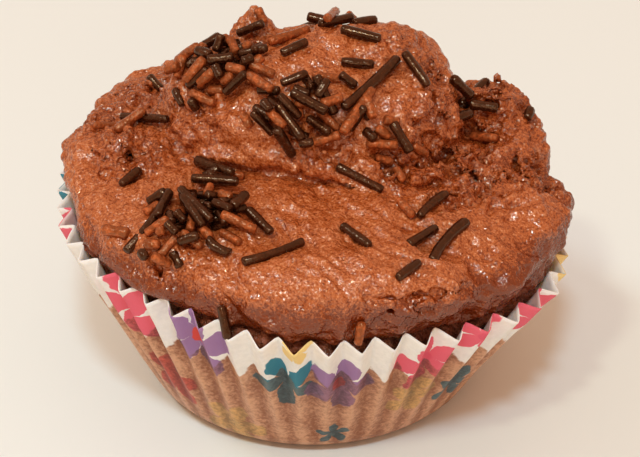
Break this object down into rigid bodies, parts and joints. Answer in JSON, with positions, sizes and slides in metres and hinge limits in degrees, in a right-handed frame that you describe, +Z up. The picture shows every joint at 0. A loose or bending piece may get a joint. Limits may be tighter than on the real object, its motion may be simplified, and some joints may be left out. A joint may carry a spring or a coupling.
{
  "type": "cupcake",
  "caption": "Chocolate cupcake in a pleated floral paper wrapper, topped with a heaped spread of frosting and scattered chocolate strands.",
  "frame": {"origin": "middle of the wrapper's flat base, on the surface that the cake stands on", "axes": "+Z up, -Y towards the front of the cake, +X to its right as seen from the front"},
  "size_m": [0.069, 0.0707, 0.0502],
  "materials": {
    "wrapper_paper": "matte baking paper, dry and off-white at the rim, soaked tan with grease below it, with a small printed flower pattern",
    "chocolate_sponge": "moist dark chocolate crumb, slightly glossy at the edge",
    "chocolate_frosting": "moist milk chocolate frosting with a fine sugary grain and soft highlights"
  },
  "bodies": {
    "root": {"wrapper": "wrapper_paper", "sponge": "chocolate_sponge", "frosting": "chocolate_frosting"}
  },
  "joints": []
}
